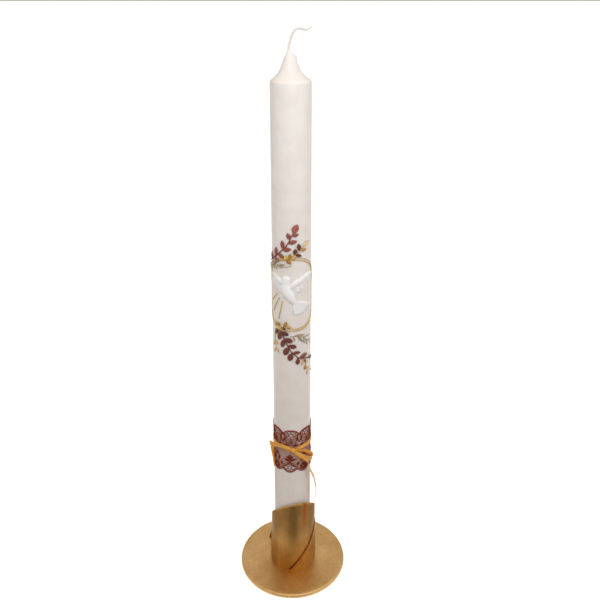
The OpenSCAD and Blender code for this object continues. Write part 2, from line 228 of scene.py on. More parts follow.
class Build:
    """Collects the points and faces of one piece. A point's mark is across, along and shade."""

    def __init__(self):
        self.points = []
        self.faces = []
        self.marks = []

    def add(self, points, faces, marks=PLAIN):
        first = len(self.points)
        self.points.extend(points)
        self.faces.extend(tuple(first + i for i in face) for face in faces)
        self.marks.extend(marks if isinstance(marks, list) else [marks] * len(points))

    def rings(self, rings, marks=PLAIN, closed=False):
        points = [p for ring in rings for p in ring]
        self.add(points, joined_rings(len(rings), len(rings[0]), closed), marks)

    def tube(self, line, radius, sides=8, mark=PLAIN, closed=False):
        """Round tube along a line; radius is a number or a function of the fraction along it."""
        side = Vector((0.31, 0.17, 0.93))
        rings = []
        count = len(line)
        for i, p in enumerate(line):
            t = (line[(i + 1) % count] - line[i - 1]).normalized() if closed else heading(line, i)
            side = (side - side.dot(t) * t).normalized()
            other = t.cross(side)
            r = radius(i / (count - 1)) if callable(radius) else radius
            turns = [2 * math.pi * k / sides for k in range(sides)]
            rings.append([p + r * (math.cos(a) * side + math.sin(a) * other) for a in turns])
        self.rings(rings, mark, closed)

    def strip(self, line, widths, section):
        """Flat band along a line: section gives across and out at each corner of the band."""
        rings = []
        marks = []
        run = 0.0
        for i, p in enumerate(line):
            if i:
                run += (p - line[i - 1]).length
            normal = widths[i].cross(heading(line, i)).normalized()
            corners_here = section(i / (len(line) - 1))
            rings.append([p + x * widths[i] + y * normal for x, y in corners_here])
            marks.extend((x, run, 0.5) for x, _ in corners_here)
        self.rings(rings, marks)

    def piece(self, node, kind, slot, sharp=45):
        """The finished piece that stands for a CAD node, with its slot's material."""
        name = node + "_" + kind
        mesh = bpy.data.meshes.new(name)
        mesh.from_pydata([tuple(c * MM for c in p) for p in self.points], [], self.faces)
        marks = mesh.attributes.new("marks", "FLOAT_VECTOR", "POINT")
        marks.data.foreach_set("vector", [c for mark in self.marks for c in mark])
        tidy = bmesh.new()
        tidy.from_mesh(mesh)
        bmesh.ops.recalc_face_normals(tidy, faces=tidy.faces)
        tidy.to_mesh(mesh)
        tidy.free()
        mesh.shade_smooth()
        mesh.set_sharp_from_angle(angle=math.radians(sharp))
        mesh.materials.append(MATERIALS[slot])
        obj = add_object(name, mesh)
        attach(obj, "holder" if slot.endswith("brass") else "candle")
        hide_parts(node)
        return obj


# Materials --------------------------------------------------------------------------------------


def srgb(red, green, blue):
    """Linear colour from the usual 0 to 255 numbers."""
    return tuple(
        (c / 255 / 12.92 if c <= 10 else ((c / 255 + 0.055) / 1.055) ** 2.4) for c in (red, green, blue)
    ) + (1.0,)


class Look:
    """A node material on one Principled shader."""

    def __init__(self, name, **values):
        self.material = bpy.data.materials.new(name)
        self.material.use_nodes = True
        self.nodes = self.material.node_tree.nodes
        self.links = self.material.node_tree.links
        self.shader = self.nodes["Principled BSDF"]
        for key, value in values.items():
            self.shader.inputs[key.replace("_", " ")].default_value = value

    def node(self, kind, **values):
        made = self.nodes.new("ShaderNode" + kind)
        for key, value in values.items():
            if key in made.inputs:
                made.inputs[key].default_value = value
            else:
                setattr(made, key, value)
        return made

    def link(self, source, target):
        self.links.new(source, target)

    def place(self, stretch=(1, 1, 1)):
        """Object coordinates, stretched by that much."""
        coordinates = self.node("TexCoord")
        mapping = self.node("Mapping", Scale=stretch)
        self.link(coordinates.outputs["Object"], mapping.inputs["Vector"])
        return mapping.outputs["Vector"]

    def marks(self):
        return self.node("Attribute", attribute_name="marks").outputs["Vector"]

    def shade(self):
        """The third number of the marks."""
        split = self.node("SeparateXYZ")
        self.link(self.marks(), split.inputs[0])
        return split.outputs["Z"]

    def noise(self, vector, scale, detail=3.0, roughness=0.5):
        made = self.node("TexNoise", Scale=scale, Detail=detail, Roughness=roughness)
        self.link(vector, made.inputs["Vector"])
        return made.outputs["Fac"]

    def wave(self, vector, scale, direction="X", distortion=0.0):
        made = self.node("TexWave", Scale=scale, Distortion=distortion, bands_direction=direction)
        self.link(vector, made.inputs["Vector"])
        return made.outputs["Fac"]

    def ramp(self, factor, stops):
        made = self.node("ValToRGB")
        elements = made.color_ramp.elements
        while len(elements) < len(stops):
            elements.new(0.5)
        for element, (position, colour) in zip(elements, stops):
            element.position = position
            element.color = colour
        self.link(factor, made.inputs["Fac"])
        return made.outputs["Color"]

    def mix(self, factor, first, second, blend="MIX"):
        """Mix of two colours; each is a socket or a fixed colour."""
        made = self.node("Mix", data_type="RGBA", blend_type=blend)
        self.give(factor, made.inputs[0])
        self.give(first, made.inputs[6])
        self.give(second, made.inputs[7])
        return made.outputs[2]

    def give(self, value, socket):
        if isinstance(value, bpy.types.NodeSocket):
            self.link(value, socket)
        else:
            socket.default_value = value

    def colour(self, socket):
        self.link(socket, self.shader.inputs["Base Color"])

    def roughness(self, factor, low, high):
        """Roughness from low to high where the factor goes from 0 to 1."""
        made = self.node("MapRange")
        made.inputs["To Min"].default_value = low
        made.inputs["To Max"].default_value = high
        self.link(factor, made.inputs["Value"])
        self.link(made.outputs["Result"], self.shader.inputs["Roughness"])

    def bump(self, *layers):
        """Bump layers, each a height socket, its depth in metres and its strength."""
        previous = None
        for height, depth, strength in layers:
            made = self.node("Bump", Distance=depth, Strength=strength)
            self.link(height, made.inputs["Height"])
            if previous:
                self.link(previous, made.inputs["Normal"])
            previous = made.outputs["Normal"]
        self.link(previous, self.shader.inputs["Normal"])


def wax_look(name, light, dark, sheen_rough):
    look = Look(name, Subsurface_Weight=0.35, Subsurface_Scale=0.003, IOR=1.44)
    look.shader.inputs["Subsurface Radius"].default_value = (1.0, 0.8, 0.66)
    place = look.place()
    look.colour(look.ramp(look.noise(place, 90, 4), [(0.3, dark), (0.7, light)]))
    look.roughness(look.noise(place, 260), sheen_rough, sheen_rough + 0.14)
    look.bump(
        (look.noise(look.place((1, 1, 0.2)), 130, 2), 0.0006, 0.12),
        (look.noise(place, 1500, 2), 0.00004, 0.25),
    )
    return look.material


def brushed_look(name, light, dark, round_plate):
    """Satin brass. The plate is brushed in circles, and the sleeve lengthways, with painted orange shade and
    reflection where the marks' shade is high: along its crease and on its wrap.
    """
    look = Look(name, Metallic=1.0, Anisotropic=0.72 if round_plate else 0.4)
    tangent = look.node("Tangent", direction_type="RADIAL", axis="Z")
    look.link(tangent.outputs[0], look.shader.inputs["Tangent"])
    place = look.place()
    streaks = look.noise(look.place((1, 1, 1 if round_plate else 0.02)), 900, 5, 0.65)
    base = look.ramp(look.noise(place, 60, 4, 0.6), [(0.32, dark), (0.68, light)])
    if not round_plate:
        # Painted orange shade and reflection on the sleeve, laid on where the marks' shade is high
        base = look.mix(look.shade(), base, srgb(206, 108, 44))
    grain = look.ramp(streaks, [(0.35, (0.66, 0.66, 0.64, 1)), (0.65, WHITE)])
    look.colour(look.mix(0.65, base, grain, "MULTIPLY"))
    look.roughness(streaks, 0.32 if round_plate else 0.38, 0.5)
    look.bump((streaks, 0.00003, 0.5), (look.noise(place, 210, 2), 0.0002, 0.12))
    return look.material


def shaded_look(name, stops, grain, dark, strength, rough, bump, **values):
    """The shade of the marks runs through the colours, under a fine grain."""
    look = Look(name, **values)
    fine = look.noise(look.place(), *grain)
    base = look.ramp(look.shade(), stops)
    shadow = look.ramp(fine, [(0.3, dark), (0.7, WHITE)])
    look.colour(look.mix(strength, base, shadow, "MULTIPLY"))
    look.roughness(fine, *rough)
    look.bump((fine, *bump))
    return look.material


def leaf_look(name, stops, metallic, rough, shine):
    """Leaves of wax sheet."""
    return shaded_look(
        name, stops, (1400, 3, 0.6), (0.7, 0.68, 0.66, 1), 0.6, (rough, rough + 0.18), (0.00008, 0.5),
        Metallic=metallic, Coat_Weight=shine, Coat_Roughness=0.12,
    )


def grain_look(name, stretch, grain, dark, light, rough, bump, **values):
    """A fine grain that runs between two colours."""
    look = Look(name, **values)
    fine = look.noise(look.place(stretch), *grain)
    look.colour(look.ramp(fine, [dark, light]))
    look.roughness(fine, *rough)
    look.bump((fine, *bump))
    return look.material


def satin_look():
    """Satin ribbon: close weft ribs across it, woven edges, and painted highlights and fold shade in soft
    patches of colour.
    """
    look = Look("ribbon_satin", Sheen_Weight=0.08, Sheen_Roughness=0.35, Specular_IOR_Level=0.45)
    look.shader.inputs["Anisotropic"].default_value = 0.5
    marks = look.marks()
    weft = look.wave(marks, 2.6, "Y", 0.4)
    warp = look.wave(marks, 3.4, "X", 1.2)
    stretched = look.node("Mapping", Scale=(0.9, 0.16, 1))
    look.link(marks, stretched.inputs["Vector"])
    # Painted highlights and fold shade: soft noise patches along the ribbon run its colour from dark orange
    # to pale yellow, whatever its real folds
    fold = look.noise(stretched.outputs["Vector"], 1.0, 3, 0.6)
    base = look.ramp(fold, [
        (0.3, srgb(206, 116, 22)), (0.48, srgb(244, 168, 56)), (0.66, srgb(255, 204, 106)),
    ])
    lines = look.ramp(warp, [(0.0, (0.78, 0.74, 0.7, 1)), (0.6, WHITE)])
    look.colour(look.mix(0.6, base, lines, "MULTIPLY"))
    look.roughness(fold, 0.32, 0.5)
    look.bump((weft, 0.00003, 0.5), (warp, 0.00004, 0.4))
    return look.material


MATERIALS = {
    "wax": wax_look("wax_body", srgb(241, 235, 230), srgb(234, 227, 221), 0.3),
    "white_wax": wax_look("wax_dove", srgb(255, 253, 251), srgb(252, 250, 248), 0.24),
    "plate_brass": brushed_look("brass_plate_brushed", srgb(228, 190, 130), srgb(208, 168, 110), True),
    "sleeve_brass": brushed_look("brass_sleeve_satin", srgb(204, 160, 94), srgb(182, 136, 74), False),
    "solder": grain_look(
        "solder_grey", (1, 1, 1), (700, 4, 0.6), (0.3, srgb(150, 148, 142)), (0.7, srgb(206, 204, 198)),
        (0.28, 0.5), (0.0001, 0.35), Metallic=1.0,
    ),
    "felt": grain_look(
        "felt_dark", (1, 1, 1), (1800, 5, 0.7), (0.3, srgb(70, 66, 62)), (0.7, srgb(122, 116, 108)),
        (0.85, 1.0), (0.0003, 0.7), Sheen_Weight=0.5, Sheen_Roughness=0.7, Specular_IOR_Level=0.15,
    ),
    "wick": grain_look(
        "wick_cotton", (1, 1, 0.35), (2600, 4, 0.7), (0.25, srgb(222, 214, 208)), (0.7, srgb(246, 242, 238)),
        (0.75, 0.95), (0.00015, 0.6), Sheen_Weight=0.4, Sheen_Roughness=0.6, Specular_IOR_Level=0.2,
    ),
    "lace": shaded_look("lace_thread", [
        (0.0, srgb(124, 44, 24)), (0.3, srgb(150, 66, 42)), (0.5, srgb(180, 112, 84)),
        (1.0, srgb(214, 168, 138)),
    ], (4200, 2), (0.62, 0.6, 0.58, 1), 0.35, (0.6, 0.9), (0.00006, 0.6),
        Sheen_Weight=0.05, Sheen_Roughness=0.5, Specular_IOR_Level=0.1),
    "ribbon": satin_look(),
    "gold_wax": leaf_look("wax_gold", [
        (0.0, srgb(92, 48, 24)), (0.1, srgb(104, 56, 24)), (0.3, srgb(168, 122, 46)),
        (0.5, srgb(190, 152, 78)), (0.75, srgb(208, 176, 110)), (1.0, srgb(230, 208, 156)),
    ], 0.7, 0.24, 0.2),
    "burgundy_wax": leaf_look("wax_burgundy", [
        (0.0, srgb(80, 34, 28)), (0.4, srgb(116, 50, 38)), (0.6, srgb(138, 70, 54)),
        (1.0, srgb(176, 108, 90)),
    ], 0.0, 0.48, 0.05),
    "taupe_wax": leaf_look("wax_taupe", [
        (0.0, srgb(140, 118, 92)), (0.5, srgb(172, 152, 126)), (1.0, srgb(196, 178, 152)),
    ], 0.3, 0.35, 0.2),
}


# Camera and free ribbon ends --------------------------------------------------------------------


def add_camera():
    data = bpy.data.cameras.new("camera")
    data.sensor_width = 36
    data.lens = 40.86
    data.shift_y = -88 / 600
    data.clip_start = 0.01
    camera = add_object("camera", data)
    camera.location = Vector((6.5, -485, 467 + PLATE_TOP)) * MM
    camera.rotation_euler = (math.radians(72.7), 0, 0)
    bpy.context.scene.camera = camera


def ribbon_section(width, thick):
    """Outline of the ribbon: thin in the middle, with rounded woven edges."""
    steps = 10
    xs = [width * (k / steps - 0.5) for k in range(steps + 1)]
    upper = [(x, thick / 2 * (0.62 + 0.38 * abs(2 * x / width) ** 6)) for x in xs]
    lower = [(x, -y) for x, y in reversed(upper)]
    edge = width / 2 + thick * 0.2
    return [(-edge, 0)] + upper + [(edge, 0)] + lower


def hanging_widths(line, towards):
    """Width directions of a ribbon that starts flat against the candle and turns its width that way."""
    widths = []
    for i, p in enumerate(line):
        t = heading(line, i)
        flat = t.cross(Vector((p.x, p.y, 0))).normalized()
        edge = Vector(towards)
        edge = (edge - edge.dot(t) * t).normalized()
        if edge.dot(flat) < 0:
            edge = -edge
        widths.append(flat.lerp(edge, ease(0.05, 0.3, i / (len(line) - 1))).normalized())
    return widths


def ribbon_tail(name, points, towards, taper):
    """Free end of the ribbon: its width turns one way and grows narrower by taper as the ribbon twists."""
    line = smooth_line([lift(p) for p in points], 8)
    build = Build()
    section = lambda f: ribbon_section(RIBBON_W * (1 - taper * ease(0.35, 1.0, f)), RIBBON_T)
    build.strip(line, hanging_widths(line, towards), section)
    tail = build.piece(name, "satin", "ribbon")


add_camera()
ribbon_tail("ribbon_tail_left", TAIL_LEFT, (0.8, -0.6, 0), 0.6)
ribbon_tail("ribbon_tail_right", TAIL_RIGHT, (0.12, 1, 0), 0.3)


# Holder -----------------------------------------------------------------------------------------


def rounded(centre_r, centre_z, radius, first, last, steps=8):
    """Points of an arc of the outline, angles in degrees from the horizontal."""
    turn = [math.radians(first + (last - first) * k / steps) for k in range(steps + 1)]
    return [(centre_r + radius * math.cos(a), centre_z + radius * math.sin(a)) for a in turn]


def base_plate():
    """Round sheet with a turned-down edge: its outline turned round the Z axis."""
    build = Build()
    inner_r = EDGE_R - PLATE_T
    flat = [(RIVET_HOLE_R + (PLATE_R - EDGE_R - RIVET_HOLE_R) * k / 12, PLATE_TOP) for k in range(12)]
    outline = flat + rounded(PLATE_R - EDGE_R, PLATE_TOP - EDGE_R, EDGE_R, 90, 0)
    burr = 0.25
    outline += rounded(PLATE_R - burr, PLATE_LIP + burr, burr, 0, -90, 3)
    outline += [(PLATE_R - PLATE_T, PLATE_LIP)]
    outline += rounded(PLATE_R - EDGE_R, PLATE_TOP - EDGE_R, inner_r, 0, 90, 4)
    outline += [(RIVET_HOLE_R, PLATE_TOP - PLATE_T)]
    steps = 256
    columns = []
    for i in range(steps):
        a = 2 * math.pi * i / steps
        columns.append([Vector((r * math.cos(a), r * math.sin(a), z)) for r, z in outline])
    build.rings(columns, closed=True)
    build.piece("base_plate", "brass", "plate_brass", 60)


def dent(angle, z):
    """Small unevenness of the hand-rolled sheet, outwards, never more than a tenth of a millimetre."""
    a = math.radians(angle)
    return 0.1 * noise.noise(Vector((1.6 * math.cos(a), 1.6 * math.sin(a), z / 26)))


def crease(angle, z, top):
    """Strength of the shallow crease that runs down the front from the rim and fades out. It presses the
    tube in and also sets the painted orange shade along the crease.
    """
    fade = ease(top - 40, top - 6, z)
    wide = 2.4 + 3.6 * fade
    return fade * math.exp(-((angle - CREASE - 0.12 * (z - top)) / wide) ** 2)


def rim_height(angle):
    """Height of the slanted rim at that angle."""
    return RIM_MIDDLE + SLEEVE_R * RIM_SLOPE * math.cos(math.radians(angle - RIM_TURN)) * 0.975


def sleeve_point(angle, z, out):
    a = math.radians(angle)
    r = SLEEVE_R - SLEEVE_TAPER * z + out
    return Vector((r * math.sin(a) + z * SLEEVE_LEAN, -r * math.cos(a), z + PLATE_TOP))


def sleeve_tube():
    """Rolled tube, its outside pressed in along the crease and its rim's edges rounded."""
    build = Build()
    columns = []
    marks = []
    steps, rows = 288, 40
    for i in range(steps):
        angle = 360 * i / steps - 180
        top = rim_height(angle)
        column = []
        for side, order in ((0, range(rows + 1)), (1, range(rows, -1, -1))):
            for k in order:
                z = top * k / rows
                depth = crease(angle, z, top)
                edge = 0.28 if k == rows else 0.0
                base = -SLEEVE_T + edge if side else -edge
                column.append(sleeve_point(angle, z - edge * 0.3, base + dent(angle, z) - 0.22 * depth))
                # The crease's strength also paints orange shade along it, on the outside of the tube only
                marks.append((0.0, 0.0, 0.85 * depth * (1 - side)))
            if side == 0:
                column.append(sleeve_point(angle, top, -SLEEVE_T / 2 + dent(angle, top)))
                marks.append((0.0, 0.0, 0.0))
        columns.append(column)
    build.rings(columns, marks, closed=True)
    build.piece("sleeve_tube", "brass", "sleeve_brass", 50)


def wrap_point(angle, z, out):
    """Point of the wrapped sheet, which stands away at its front and runs straight past the back."""
    lifted = WRAP_FLARE * ((40 - angle) / 50) ** 2 if angle < 40 else 0.0
    r = SLEEVE_R + WRAP_GAP - SLEEVE_TAPER * z + out + dent(angle, z)
    a = math.radians(min(angle, WRAP_BACK))
    straight = max(0.0, angle - WRAP_BACK) * SLEEVE_R * math.pi / 180
    x = (r + lifted) * math.sin(a) + straight * math.cos(a)
    y = -(r + lifted) * math.cos(a) + straight * math.sin(a)
    return Vector((x + z * SLEEVE_LEAN, y, z + PLATE_TOP))


def sleeve_wrap():
    """The shade of its marks is painted orange shade and reflection: strong inside, along the front edge and
    low down.
    """
    build = Build()
    columns = []
    marks = []
    steps, rows = 200, 26
    for i in range(steps + 1):
        column = []
        for side, order in ((1, range(rows + 1)), (0, range(rows, -1, -1))):
            for k in order:
                f = k / rows
                front = WRAP_FRONT[0] + (WRAP_FRONT[1] - WRAP_FRONT[0]) * f
                tail = WRAP_TAIL[0] + (WRAP_TAIL[1] - WRAP_TAIL[0]) * f
                back = WRAP_BACK + math.degrees(tail / SLEEVE_R)
                angle = front + (back - front) * i / steps
                top = min(WRAP_H, rim_height(min(angle, WRAP_BACK)) - 1)
                edge = 0.2 if k == rows or i in (0, steps) else 0.0
                column.append(wrap_point(angle, (top - edge * 0.2) * f, WRAP_T - edge if side else edge))
                # Painted orange shade and reflection: the whole inner face, the outer face near its front
                # edge, fading out between 20 and 50 mm up
                shade = 0.8 * (1 - side * ease(0, 8, i)) * ease(50, 20, top * f)
                marks.append((0.0, 0.0, shade))
        columns.append(column)
    build.rings(columns, marks)
    build.piece("sleeve_wrap", "brass", "sleeve_brass", 50)


base_plate()
sleeve_tube()
sleeve_wrap()
for node, slot in (
    ("felt_pad", "felt"), ("solder_tacks", "solder"), ("rivet_washer", "solder"),
    ("pricket_spike", "sleeve_brass"),
):
    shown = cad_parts[node]
    shown.data.materials.clear()
    shown.data.materials.append(MATERIALS[slot])


# Candle and wick --------------------------------------------------------------------------------


def candle_wax():
    """Turned wax body whose moulded tip leans a little and has a low lump on its right side."""
    # Depth below the tip, radius and sideways lean
    tip = [
        (22.4, 15, 0), (21.7, 14.9, 0), (20.9, 14.4, -0.1), (19.6, 12.9, -0.2), (18.1, 11.2, -0.3),
        (16.7, 9.8, -0.4), (15.5, 8.6, -0.5), (13.2, 7.2, -0.55), (10, 5.9, -0.5), (7, 4.85, -0.45),
        (4.4, 3.85, -0.4), (2.6, 2.6, -0.9), (1.2, 1.7, -1.3), (0.2, 0.95, -1.5),
    ]
    scale = CANDLE_R / 15
    build = Build()
    rings = []
    steps = 160
    foot = CANDLE_FOOT
    sections = [(foot, BORE_R, 0), (foot, CANDLE_R - 0.5, 0), (foot + 0.5, CANDLE_R, 0)]
    body_top = CANDLE_TIP - tip[0][0] - 0.4
    sections += [(foot + 1 + (body_top - foot - 1) * k / 90, CANDLE_R, 0) for k in range(91)]
    for p in smooth_line(tip, 4):
        sections.append((CANDLE_TIP - p.x, p.y * scale, p.z))
    for z, r, shift in sections:
        ring = []
        for k in range(steps):
            a = 2 * math.pi * k / steps
            ripple = 0.045 * noise.noise(Vector((2.2 * math.cos(a), 2.2 * math.sin(a), z / 30)))
            wide = r + (ripple - 0.05) * ease(4, 9, r)
            lump = 0.9 * math.exp(-((CANDLE_TIP - z - 3.6) / 1.7) ** 2) * max(0.0, math.cos(a)) ** 2
            ring.append(Vector(((wide + lump) * math.cos(a) + shift, wide * math.sin(a), z + PLATE_TOP)))
        rings.append(ring)
    turns = [2 * math.pi * k / steps for k in range(steps)]
    bore = [
        [Vector((r * math.cos(a), r * math.sin(a), BORE_TOP + PLATE_TOP)) for a in turns]
        for r in (0.3, BORE_R)
    ]
    build.rings(bore + rings)
    build.piece("candle_wax", "body", "wax", 70)


def wick():
    """Three plaited strands with loose fibres at the end."""
    build = Build()
    line = smooth_line([lift(p) for p in WICK_LINE], 10)
    count = len(line)
    depth = Vector((0, 1, 0))
    plait = 6.4
    for strand in range(3):
        path = []
        run = 0.0
        for i, p in enumerate(line):
            if i:
                run += (p - line[i - 1]).length
            t = heading(line, i)
            side = t.cross(depth).normalized()
            turn = 2 * math.pi * (run / plait + strand / 3)
            size = 1 - 0.45 * ease(0.8, 1.0, i / count)
            path.append(p + size * (0.5 * math.cos(turn) * side + 0.42 * math.sin(turn) * depth))
        build.tube(path, lambda f: 0.6 * (1 - 0.62 * ease(0.84, 1.0, f)) + 0.03 * math.sin(f * 190), 10)
    end = line[-1]
    fibres = 16
    for _ in range(fibres):
        spread = Vector([random.uniform(low, high) for low, high in ((-0.2, 0.9), (-0.5, 0.5), (-0.5, 0.5))])
        start = line[-8].lerp(end, random.uniform(0.0, 0.75)) + 0.3 * spread
        stop = end + Vector((spread.x * 0.7 - 0.5, spread.y * 0.6, spread.z * 0.6))
        middle = start.lerp(stop, 0.5) + Vector((0, 0, random.uniform(-0.25, 0.25)))
        build.tube(smooth_line([start, middle, stop], 4), lambda f: 0.075 * (1 - 0.6 * f), 5)
    build.piece("wick", "plait", "wick", 80)


candle_wax()
wick()


# Wax decoration ---------------------------------------------------------------------------------


def oval(t, reach, rise):
    """Point of the ring as arc length and height, t in degrees."""
    c, s = math.cos(math.radians(t)), math.sin(math.radians(t))
    power = 2 / RING_BULGE[s < 0]
    return Vector((math.copysign(reach * abs(c) ** power, c), math.copysign(rise * abs(s) ** power, s)))


def ring_strand(name, reach, rise, seed):
    """Half-round bead laid on the candle."""
    build = Build()
    steps = 360
    rings = []
    for i in range(steps):
        t = 360 * (i + 0.5) / steps
        p = oval(t, reach, rise)
        run = oval(t + 0.5, reach, rise) - oval(t - 0.5, reach, rise)
        side = Vector((run.y, -run.x)).normalized()
        c, s = math.cos(math.radians(t)), math.sin(math.radians(t))
        uneven = noise.noise(Vector((3.5 * c, 3.5 * s, seed)))
        width = STRAND_W * (1 + 0.16 * uneven)
        high = 0.42 * (1 + 0.2 * noise.noise(Vector((6 * c, 6 * s, seed + 5))))
        p = p + side * 0.16 * noise.noise(Vector((2 * c, 2 * s, seed + 9)))
        ring = []
        for k in range(10):
            a = math.pi * k / 9
            q = p + side * (width / 2 * math.cos(a))
            ring.append(on_candle(arc_to_angle(q.x), RING_Z + q.y, RING_OUT + high * math.sin(a)))
        rings.append(ring)
    build.rings(rings, (0.0, 0.0, 0.72), closed=True)
    build.piece(name, "bead", "gold_wax", 80)


def leaf(build, angle, z, turn, length, width, out, shade, blunt=0.0, thick=0.3, rise=0.12):
    """Domed leaf with a mid-rib, its foot at that place; its tip rises, and a blunt one is widest there."""
    rows, columns = 10, 8
    cos_t, sin_t = math.cos(math.radians(turn)), math.sin(math.radians(turn))
    top, under, marks = [], [], []
    for i in range(rows + 1):
        u = i / rows
        shape = math.sin(math.pi * min(1.0, u ** (1 + 0.7 * blunt))) ** (0.85 - 0.35 * blunt)
        half = max(0.03, width / 2 * shape)
        for j in range(columns + 1):
            v = 2 * j / columns - 1
            x = u * length
            y = v * half
            a = angle + arc_to_angle(x * cos_t - y * sin_t)
            h = z + x * sin_t + y * cos_t
            dome = thick * (1 - v ** 4) * min(1.0, 0.35 + 0.96 * shape)
            rib = 0.1 * math.exp(-(v / 0.16) ** 2) * shape
            under.append(on_candle(a, h, out + rise * u * u))
            top.append(on_candle(a, h, out + rise * u * u + 0.04 + dome - rib))
            marks.append((x, y, min(1.0, max(0.0, shade + 0.06 * v))))
    size = columns + 1
    last = len(top)
    faces = []
    for i in range(rows):
        for j in range(columns):
            a, b = i * size + j, i * size + j + 1
            c, d = b + size, a + size
            faces.append((a, b, c, d))
            faces.append((last + d, last + c, last + b, last + a))
        a, b = i * size, (i + 1) * size
        faces.append((a, b, last + b, last + a))
        a, b = i * size + columns, (i + 1) * size + columns
        faces.append((b, a, last + a, last + b))
    for j in range(columns):
        faces.append((j + 1, j, last + j, last + j + 1))
        a = rows * size + j
        faces.append((a, a + 1, last + a + 1, last + a))
    build.add(top + under, faces, marks + marks)


def sprig(name, slot, places, leaves, out, stem_w, shade, blunt=0.0):
    """Half-round stem along angle and height places with its leaves: each leaf is its place along the stem
    from 0 to 1, its turn from the stem's direction, its length and width and its shade."""
    build = Build()
    path = smooth_line([unrolled(a, z) for a, z in places], 6)
    line = [on_candle(arc_to_angle(p.x), p.y, out + 0.12) for p in path]
    build.tube(line, lambda f: stem_w / 2 * (1 - 0.35 * f), 6, (0.0, 0.0, shade))
    for k, (fraction, turn, length, width, leaf_shade) in enumerate(leaves):
        foot, run = along(path, fraction)
        turn += math.degrees(math.atan2(run.y, run.x))
        level = out + 0.03 * (k % 3)
        size = 1.06 * length, 1.15 * width
        leaf(build, arc_to_angle(foot.x), foot.y, turn, *size, level, leaf_shade, blunt)
    build.piece(name, "leaves", slot, 80)


def ray(name, first, last):
    """Narrow flat bar with a bevel, widening away from the dove."""
    build = Build()
    steps = 14
    bevel, low, high, top = 0.15, 0.03, 0.2, 0.34
    p = unrolled(*first)
    q = unrolled(*last)
    side = Vector((-(q - p).y, (q - p).x)).normalized()
    rings = []
    for i in range(steps + 1):
        f = i / steps
        c = p.lerp(q, f)
        half = 0.34 + 0.14 * f
        flat = half - bevel
        outline = [(-half, low), (-half, high), (-flat, top), (flat, top), (half, high), (half, low)]
        rings.append([
            on_candle(arc_to_angle(c.x + side.x * x), c.y + side.y * x, y) for x, y in outline
        ])
    build.rings(rings, (0.0, 0.0, 0.55))
    build.piece(name, "bar", "gold_wax", 30)


def mound(build, places, rise):
    """Smooth rounded body along the candle; places are angle, height and half width."""
    path = smooth_line([unrolled(*place) for place in places], 8)
    rings = []
    sides = 20
    for i, p in enumerate(path):
        run = path[min(i + 1, len(path) - 1)] - path[max(i - 1, 0)]
        side = Vector((-run.y, run.x)).normalized()
        ring = []
        for k in range(sides):
            a = 2 * math.pi * k / sides
            across = p.z * math.cos(a)
            up = rise * p.z * max(0.0, math.sin(a)) ** 0.85
            q = p.xy + side * across
            ring.append(on_candle(arc_to_angle(q.x), q.y, 0.05 + up))
        rings.append(ring)
    build.rings(rings)


def dove():
    """Soft relief: feathers lie under the bright leading edge of each wing."""
    build = Build()
    # Feathers: angle, height, turn, length and width
    right_wing = [
        (44, 268, -29, 5.4, 3.2), (36, 267.4, -34, 5.6, 3.4), (28, 266.2, -41, 6.2, 3.6),
        (18, 264.8, -49, 7, 3.8), (8, 263.4, -55, 7.8, 4), (1, 262.2, -67, 8.8, 4.2),
        (-6, 260.6, -72, 7.4, 4.4),
    ]
    left_wing = [
        (-50, 267.6, 220, 4, 3), (-42, 266.6, 230, 6.4, 3.4), (-34, 265.4, 235, 7.6, 3.6),
        (-27, 264, 244, 8.4, 3.8), (-22, 262, 238, 6.4, 4),
    ]
    for k, (angle, z, turn, length, width) in enumerate(right_wing + left_wing):
        leaf(build, angle, z, turn, length, width, 0.06 + 0.05 * (k % 5), 0.5, 0.5, 0.5, 0.1)
    # Tail fan
    for k in range(7):
        leaf(build, 8, 250.6, -86 + 10.6 * k, 12.6 + 0.3 * k, 3.6, 0.1 + 0.05 * k, 0.5, 0.75, 0.85, 0.1)
    # Thin web of the wings under the feathers
    web = 0.14
    mound(build, [(-6, 260, 2.4), (6, 260.6, 3.8), (20, 263, 3.2), (36, 265.6, 2.2), (50, 267.4, 0.8)], web)
    mound(build, [(-24, 262.4, 2.6), (-34, 263, 3.2), (-46, 264.8, 2.4), (-58, 267, 0.8)], web)
    # Leading edges of the wings
    mound(build, [
        (-6, 259, 1.7), (4, 263, 2.4), (28, 266.7, 2.5), (50, 269.5, 2.2), (66, 269.8, 1.7),
        (73.4, 268.8, 0.6),
    ], 0.6)
    mound(build, [
        (-25, 264, 1.6), (-31, 265.5, 2.4), (-44, 267.6, 2.1), (-58, 269.2, 1.6), (-72.3, 270.2, 0.6),
    ], 0.6)
    # Head, body and beak
    mound(build, [
        (-15.4, 270.8, 0.5), (-15.4, 269.8, 2.4), (-15.4, 267.5, 3.3), (-16.4, 264, 3), (-16, 260.6, 3.6),
        (-11, 256.6, 4), (-1, 252.6, 3.3), (7, 249.6, 2.3), (13, 247.4, 1),
    ], 0.58)
    leaf(build, -26, 267.8, 190, 2.2, 1.3, 0.4, 0.5, 0.0, 0.5, 0.0)
    relief = build.piece("dove", "relief", "white_wax", 180)
    remesh = relief.modifiers.new("skin", "REMESH")
    remesh.mode = "VOXEL"
    remesh.voxel_size = 0.22 * MM
    soften = relief.modifiers.new("soften", "SMOOTH")
    soften.factor = 0.5
    soften.iterations = 5
    skin = bpy.data.meshes.new_from_object(relief.evaluated_get(bpy.context.evaluated_depsgraph_get()))
    relief.modifiers.clear()
    skin.name = "dove_relief"
    skin.materials.clear()
    skin.materials.append(MATERIALS["white_wax"])
    skin.shade_smooth()
    relief.data = skin


ring_strand("ring_strand_outer", RING_REACH, RING_RISE, 1)
ring_strand("ring_strand_inner", RING_REACH - STRAND_W - 0.1, RING_RISE - 1.7, 2)
ray("ray_upper", (-44.7, 254.8), (-72.1, 247.1))
ray("ray_middle", (-36.7, 252.2), (-63.1, 239.3))
ray("ray_lower", (-26.2, 249.7), (-40, 234.3))
dove()

